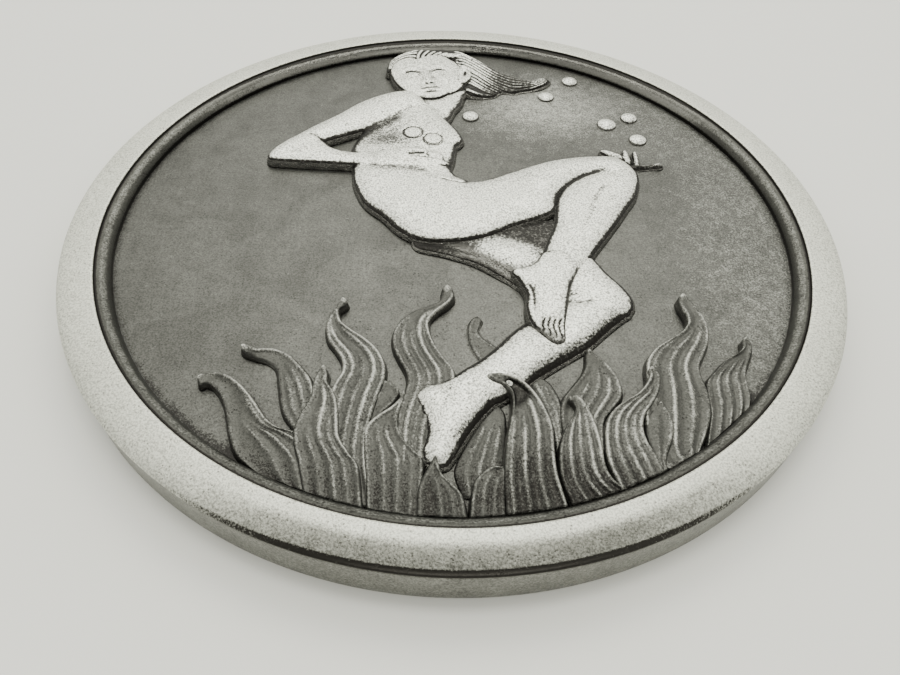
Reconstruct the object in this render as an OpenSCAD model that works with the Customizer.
// Round cast metal relief dish. It lies flat, with a leaping dancer above a bank of
// curling flames inside a raised rim. Millimetres, +Z up, origin at the bottom centre,
// the dancer's head towards +Y.

/* [Dish] */
// Outside diameter over the rim
dish_d = 260; // [240:1:280]
// Full height, from the foot to the top of the rim
dish_h = 16; // [15:0.5:20]
// Width of the whole rim, from its outer edge to the edge of the moulding
rim_w = 11.5; // [8:0.5:12]
// Thickness of the sunk field that carries the relief
field_t = 5; // [3:0.5:6]
// Depth of the field below the rim's top
field_depth = 5.2; // [4.6:0.1:6]

/* [Rim] */
// Width of the rounded shoulder on the rim's outer edge
shoulder_w = 4; // [1:0.5:6]
// Height of the rounded shoulder
shoulder_h = 2.4; // [1:0.1:4]
// Depth of the thin groove under the shoulder
groove_depth = 0.4; // [0.2:0.1:1]
// How far the side wall stands in from the shoulder
wall_inset = 0.3; // [0:0.1:1]

/* [Moulding] */
// Width of the rounded moulding inside the rim
bead_w = 4.3; // [2:0.1:6]
// Drop of the moulding's upper edge below the rim's top
bead_drop = 0.8; // [0.4:0.1:2]

/* [Relief] */
// Height of the dancer above the field
figure_h = 4.9; // [4.4:0.1:5.1]
// Slope width of the dancer's side walls
figure_draft = 0.8; // [0:0.1:1]
// Thickness of the coins
coin_t = 1.1; // [0.6:0.1:2]
// How finely curves are divided between two outline points
curve_steps = 3; // [2:1:6]

/* [Hidden] */

$fn = 96;
dish_r = dish_d / 2;
rim_in_r = dish_r - rim_w;
bead_in_r = rim_in_r - bead_w;
field_z = dish_h - field_depth;
field_bottom_z = field_z - field_t;
figure_z = field_z + figure_h;
bead_top_z = dish_h - bead_drop;
arc_steps = 10;
foot_chamfer = 0.6;
edge_round = 0.4;
groove_h = 0.5;
sliver = 0.3;
torso_coin_t = 0.2;
small_coin_r = 3.5;
large_coin_r = 4;

// Levels of a figure part: how far the outline grows, from height, to height
figure_levels = [
    [figure_draft, 0, 2],
    [0, 2, figure_h - 1],
    [-1.6, figure_h - 1, figure_h]
];

// Closed smooth curve through a loop of points (Catmull-Rom)
function smooth_point(a, b, c, d, t) =
    0.5 * (2 * b + (c - a) * t + (2 * a - 5 * b + 4 * c - d) * t * t
    + (3 * b - 3 * c + d - a) * t * t * t);
function loop_curve(p, steps) = [
    for (i = [0 : len(p) - 1], j = [0 : steps - 1])
        smooth_point(p[(i + len(p) - 1) % len(p)], p[i], p[(i + 1) % len(p)],
            p[(i + 2) % len(p)], j / steps)
];

// Outlines of the dancer's parts, seen from above
hair_points = [
    [-28, 98], [-21, 102], [-12, 104], [-3, 100], [0, 92], [3, 84], [4, 79], [8, 76],
    [13, 77], [20, 82], [30, 83], [37, 87], [40, 92], [28, 93.5], [18, 99], [10, 104],
    [2, 108], [-10, 112], [-20, 110], [-27, 104]
];
neck_points = [
    [4, 80], [2, 72], [0, 66], [-4, 58], [-11, 60], [-15, 68], [-14, 76], [-6, 82]
];
torso_points = [
    [-22, 77], [-16, 75], [-10, 66], [-5, 59], [0, 51], [2.5, 44], [0, 39.5], [-1, 33],
    [-2, 25], [4, 18], [-6, 17], [-22, 15], [-36, 15], [-38, 22], [-40, 34], [-38, 48],
    [-33, 62], [-28, 72]
];
upper_arm_points = [
    [-20, 77.5], [-30, 74.5], [-38, 69], [-48, 58], [-57, 49], [-65, 39.5],
    [-70, 32], [-70, 27], [-60, 31], [-51, 39], [-42, 45], [-30, 53], [-22, 59], [-16, 70]
];
forearm_points = [
    [-70, 30], [-69, 26.5], [-55, 25.6], [-40, 25.5], [-27, 24.8], [-27, 32.5], [-38, 33],
    [-46, 35], [-52, 39.5], [-62, 40], [-68, 35]
];
near_hand_points = [
    [-28, 25], [-16, 24.6], [-4, 25.6], [-1.5, 27.5], [-5, 29.5], [-9, 32], [-13, 35.5],
    [-21, 35.7], [-28, 32.5]
];
near_thigh_points = [
    [-37.5, 22], [-36.5, 14], [-32, 4], [-25, -3], [-19, -10], [-12, -14.5], [-2, -15],
    [10, -12], [20, -6], [30, -1], [35, 3], [37, 11], [43, 19], [52, 24.5], [62, 26.5],
    [67, 28], [63, 35], [56, 36.5], [45, 35], [34, 31.5], [22, 25], [12, 19.5], [3, 17],
    [-12, 20], [-28, 22]
];
near_shin_points = [
    [67, 29], [68, 22], [65, 12], [59, 2], [54, -7], [48, -17], [42, -27], [38, -33],
    [30, -31], [25, -27], [29, -20], [33, -10], [35, 2], [37, 11], [43, 19], [52, 24.5],
    [61, 27]
];
near_foot_points = [
    [39, -30], [36.5, -37], [35, -45], [33.7, -53], [32.5, -59], [29.5, -58.5],
    [25, -52], [22.5, -46], [23, -38], [20, -33], [19.5, -28.5], [26, -26], [33, -27]
];
far_hand_points = [
    [56, 37], [60, 39.5], [66, 41], [71, 40], [72.5, 35.5], [78, 33.5], [76, 31],
    [70, 29.5], [64, 28], [58, 31]
];
far_thigh_points = [
    [-15, -14], [-13, -19.5], [-3, -20], [7, -24], [17, -31], [26, -39], [36, -45],
    [48, -47], [56, -43], [55, -35], [48, -24], [40, -12], [24, -4], [4, -8]
];
far_shin_points = [
    [3, -69.5], [12, -61], [22, -50], [30, -43], [42, -42], [54, -43], [51, -48],
    [42, -57.5], [30, -66], [22, -73], [15, -79], [10, -83], [4, -79]
];
far_foot_points = [
    [3, -69.5], [10, -74], [13, -80], [7, -87], [2, -95], [-1, -100], [-5, -100],
    [-8, -96], [-6.5, -90], [-8, -83], [-10.5, -78], [-8, -74.5], [-2, -73]
];

// The head is an oval, tilted towards the left shoulder
head_centre = [-14, 90.5];
head_size = [30, 39];
head_tilt = 12;

// Coins: centre and radius. The first six lie on the field, the others on the torso
field_coins = [
    [[5.6, 63.5], small_coin_r], [[37.7, 80], small_coin_r], [[49, 93], small_coin_r],
    [[61.2, 60.6], large_coin_r], [[71, 65.7], small_coin_r], [[72.4, 50.4], small_coin_r]
];
torso_coins = [[-17, 46], [-8.5, 43]];

// Flames, front ones first: outline from above, then height above the field
flame_front = [[
    [-7.5, -96.5], [-5.5, -98.5], [-3.5, -98], [-2, -101], [0.5, -105], [3.5, -108.5],
    [5, -112], [3, -116], [-8, -116], [-8.5, -108], [-9, -101]
], 2.6];
flame_arch = [[
    [5, -116], [5, -108], [6.5, -103.5], [9.5, -101], [13, -100.3], [14.5, -103],
    [14, -116]
], 2.2];
flame_ankle = [[
    [9.5, -72], [14, -71.3], [18.5, -72.7], [22, -76], [25, -81], [27, -88], [27.5, -97],
    [28.5, -106], [30, -116], [13, -116], [13.5, -105], [14.5, -96], [16, -86],
    [17, -77.5], [13, -75.5]
], 4.4];
flame_curl = [[
    [32.3, -79.5], [33.5, -77.6], [36.3, -79], [38.2, -84], [39.6, -90], [40.3, -98],
    [42, -103], [46, -110], [36, -116], [29, -114], [28, -105], [28.5, -95],
    [31, -88], [33.7, -83]
], 3.6];
flame_hook = [[
    [55.7, -69.5], [57, -67.3], [59.3, -69], [59, -73.5], [56, -79], [52.5, -85],
    [51.8, -91], [54, -96], [56, -101], [52, -107], [43, -109], [41.2, -100], [40.6, -92],
    [42.5, -84.5], [47, -79.7], [52.5, -76]
], 3.6];
flame_pointed = [[
    [-38.3, -71.5], [-36.5, -69.5], [-35, -72.5], [-32.5, -78], [-30.5, -85], [-29, -93],
    [-25, -99], [-22.5, -105], [-21, -116], [-36, -112], [-38, -104], [-41, -96],
    [-41.8, -89], [-39.5, -81]
], 2.8];
flame_heel = [[
    [-13.4, -76.6], [-13.6, -80], [-14.3, -87], [-12.5, -92], [-8.5, -96.5], [-8, -104],
    [-8, -116], [-22, -116], [-22.2, -104], [-23.2, -92], [-21.5, -87], [-16, -82]
], 2.2];
flame_low = [[
    [56.5, -78.5], [59.3, -80], [60, -85], [58, -91], [54.5, -97.5], [51, -92], [52, -85]
], 1.6];
flame_tall = [[
    [70.2, -41], [71.7, -37.7], [74, -39], [76.7, -45], [77.7, -50], [76, -58],
    [72.3, -65], [71.7, -71], [72.2, -78], [69.5, -87], [66, -97], [54, -104],
    [50, -94], [55, -82], [56, -72], [56, -66], [60, -60], [67, -55.3], [71.2, -50],
    [71.6, -45]
], 2.9];
flame_right = [[
    [86.7, -55], [88.2, -54], [89.4, -56.5], [87.5, -62], [85, -67.5], [84.8, -75],
    [83, -81], [78, -92], [68, -96], [69, -87], [72.5, -78], [72.5, -71.5], [78, -65],
    [84, -60.3]
], 2.2];
flame_bud = [[
    [-21, -72.5], [-17.5, -73], [-15, -76.5], [-17, -81], [-22, -86], [-25, -79]
], 1.5];
flame_wave = [[
    [-34.5, -43.3], [-32.7, -45], [-34.8, -48.5], [-33.3, -52], [-28, -56.5], [-22, -62],
    [-19.2, -69], [-20, -77], [-23, -88], [-29, -96], [-34, -84], [-33.3, -75],
    [-31.5, -68], [-33.5, -63.5], [-37, -58.5], [-37.8, -52], [-36.3, -46.5]
], 2.6];
flame_wave_low = [[
    [-71, -75.5], [-70, -73], [-65, -72.7], [-58.5, -76.5], [-53, -83], [-48, -89],
    [-41, -91], [-34, -98], [-36, -114], [-47, -110], [-55, -99.5], [-59, -90],
    [-63, -81], [-67, -76.6], [-69.7, -78]
], 2.4];
flame_wave_high = [[
    [-61.5, -62.5], [-60, -61.6], [-56, -63.2], [-50, -62.8], [-44.5, -66.5], [-38, -75],
    [-34, -84], [-37, -93], [-42, -91], [-46.5, -83], [-49.5, -71.5], [-54, -67.3],
    [-60.5, -65]
], 2];
flame_centre = [[
    [-3.4, -38.5], [-1.8, -36.4], [0, -39], [-1.3, -43], [-6, -47.8], [-7.4, -52.5],
    [-5, -60], [0, -69], [-2, -77], [-11, -80], [-12.8, -73], [-16, -65.5],
    [-17.9, -58], [-16.5, -51], [-11, -45.8], [-4.5, -43]
], 2.6];
flame_behind_shin = [[
    [38.3, -62], [40.5, -59.7], [45.5, -65], [48.2, -71], [47.5, -77], [42.5, -84.5],
    [36, -90], [30, -88], [30.3, -80], [34, -73.5], [37.5, -68]
], 2];
flame_behind_ankle = [[
    [22, -71], [26.5, -69.5], [30, -75.5], [31.5, -82], [31, -90], [27, -97], [24.5, -83]
], 1.4];
flame_behind_foot = [[
    [7, -85], [12, -80], [17, -79], [16.5, -90], [15, -102], [8, -104], [4, -109],
    [0, -102], [3, -93]
], 1.5];
flame_slender = [[
    [4.6, -51], [6.8, -47.6], [8.8, -49], [7.8, -52.5], [12, -57.5], [14, -62],
    [9, -66], [5.8, -60], [4.4, -55]
], 1.3];

// All flames in their order from front to back
flames = [
    flame_front, flame_arch, flame_ankle, flame_curl, flame_hook, flame_pointed,
    flame_heel, flame_low, flame_tall, flame_right, flame_bud, flame_wave,
    flame_wave_low, flame_wave_high, flame_centre, flame_behind_shin,
    flame_behind_ankle, flame_behind_foot, flame_slender
];
flames_over_foot = 3;

// Flat outline of a loop of points, grown by a distance
module outline(points, grow = 0) {
    offset(delta = grow) polygon(loop_curve(points, curve_steps));
}

module head_outline(grow = 0) {
    translate(head_centre) rotate(head_tilt)
        scale([head_size.x + 2 * grow, head_size.y + 2 * grow]) circle(d = 1, $fn = 48);
}

// Takes away strips too thin to cast
module without_slivers() {
    offset(delta = sliver) offset(delta = -sliver) children();
}

// Outlines of the figure parts that lie in front of the one named
module parts_in_front(rank) {
    g = figure_draft;
    if (rank > 0) outline(near_hand_points, g);
    if (rank > 1) outline(forearm_points, g);
    if (rank > 2) outline(upper_arm_points, g);
    if (rank > 3) outline(hair_points, g);
    if (rank > 4) head_outline(g);
    if (rank > 5) outline(torso_points, g);
    if (rank > 6) outline(neck_points, g);
    if (rank > 7) outline(near_thigh_points, g);
    if (rank > 8) outline(near_shin_points, g);
    if (rank > 9) outline(near_foot_points, g);
    if (rank > 10) flames_in_front(flames_over_foot);
    if (rank > 11) outline(far_hand_points, g);
    if (rank > 12) outline(far_foot_points, g);
    if (rank > 13) outline(far_shin_points, g);
    if (rank > 14) outline(far_thigh_points, g);
}

module flames_in_front(count) {
    for (i = [0 : 1 : count - 1]) outline(flames[i][0]);
}

// One part of the dancer, in three steps that narrow towards the top
module figure_part(points, rank) {
    for (level = figure_levels) {
        translate([0, 0, field_z + level[1]])
            linear_extrude(level[2] - level[1])
                without_slivers() difference() {
                    outline(points, level[0]);
                    parts_in_front(rank);
                }
    }
}

// One flame, in two steps, kept inside the moulding and behind what covers it
module flame(index) {
    behind_figure = index >= flames_over_foot;
    steps = [[0, 0, 0.6], [-0.8, 0.6, 1]];
    height = flames[index][1];
    for (level = steps) {
        translate([0, 0, field_z + level[1] * height])
            linear_extrude((level[2] - level[1]) * height)
                without_slivers() difference() {
                    intersection() {
                        outline(flames[index][0], level[0]);
                        circle(r = bead_in_r, $fn = 180);
                    }
                    flames_in_front(index);
                    if (behind_figure) parts_in_front(15);
                }
    }
}

// Sunk round plate that carries the relief
module base_plate() {
    color("#7d8079")
        translate([0, 0, field_bottom_z]) cylinder(h = field_t, r = rim_in_r, $fn = 180);
}

// Raised rim with a rounded shoulder, a thin groove under it and a plain side wall
module rim() {
    wall_r = dish_r - wall_inset;
    shoulder_z = dish_h - shoulder_h;
    shoulder = [
        for (i = [0 : arc_steps])
            [dish_r - shoulder_w + shoulder_w * cos(90 * i / arc_steps),
                shoulder_z + shoulder_h * sin(90 * i / arc_steps)]
    ];
    color("#c9cdc4") rotate_extrude($fn = 180) polygon(concat(
        [[rim_in_r, 0], [wall_r - foot_chamfer, 0], [wall_r, foot_chamfer]],
        [[wall_r, shoulder_z - groove_h], [wall_r - groove_depth, shoulder_z - groove_h / 2]],
        shoulder,
        [[rim_in_r + edge_round, dish_h], [rim_in_r, dish_h - edge_round]]
    ));
}

// Convex quarter-round moulding between the rim and the field
module bead_moulding() {
    curve = [
        for (i = [0 : arc_steps])
            [rim_in_r - bead_w * sin(90 * i / arc_steps),
                field_z + (bead_top_z - field_z) * cos(90 * i / arc_steps)]
    ];
    color("#8f938b") rotate_extrude($fn = 180) polygon(concat([[rim_in_r, field_z]], curve));
}

module near_hand() color("#d3d6ce") figure_part(near_hand_points, 0);
module near_forearm() color("#d3d6ce") figure_part(forearm_points, 1);
module near_upper_arm() color("#d3d6ce") figure_part(upper_arm_points, 2);
module hair() color("#c4c8c0") figure_part(hair_points, 3);
module torso() color("#d3d6ce") figure_part(torso_points, 5);
module neck() color("#d3d6ce") figure_part(neck_points, 6);
module near_thigh() color("#d3d6ce") figure_part(near_thigh_points, 7);
module near_shin() color("#d3d6ce") figure_part(near_shin_points, 8);
module near_foot() color("#d3d6ce") figure_part(near_foot_points, 9);
module far_hand() color("#d3d6ce") figure_part(far_hand_points, 11);
module far_foot() color("#d3d6ce") figure_part(far_foot_points, 12);
module far_shin() color("#d3d6ce") figure_part(far_shin_points, 13);
module far_thigh() color("#d3d6ce") figure_part(far_thigh_points, 14);

module head() {
    color("#d3d6ce") for (level = figure_levels) {
        translate([0, 0, field_z + level[1]])
            linear_extrude(level[2] - level[1])
                without_slivers() difference() {
                    head_outline(level[0]);
                    parts_in_front(4);
                }
    }
}

// Thin round coins tossed around the dancer
module coins() {
    color("#c9cdc4") {
        for (coin = field_coins)
            translate([coin[0].x, coin[0].y, field_z]) cylinder(h = coin_t, r = coin[1]);
        for (spot = torso_coins)
            translate([spot.x, spot.y, figure_z])
                cylinder(h = torso_coin_t, r = small_coin_r);
    }
}

module flame_node(index) {
    color("#8a8d86") flame(index);
}

base_plate();
rim();
bead_moulding();
head();
hair();
neck();
torso();
near_upper_arm();
near_forearm();
near_hand();
near_thigh();
near_shin();
near_foot();
far_hand();
far_thigh();
far_shin();
far_foot();
coins();
flame_node(0);  // flame_front
flame_node(1);  // flame_arch
flame_node(2);  // flame_ankle
flame_node(3);  // flame_curl
flame_node(4);  // flame_hook
flame_node(5);  // flame_pointed
flame_node(6);  // flame_heel
flame_node(7);  // flame_low
flame_node(8);  // flame_tall
flame_node(9);  // flame_right
flame_node(10);  // flame_bud
flame_node(11);  // flame_wave
flame_node(12);  // flame_wave_low
flame_node(13);  // flame_wave_high
flame_node(14);  // flame_centre
flame_node(15);  // flame_behind_shin
flame_node(16);  // flame_behind_ankle
flame_node(17);  // flame_behind_foot
flame_node(18);  // flame_slender
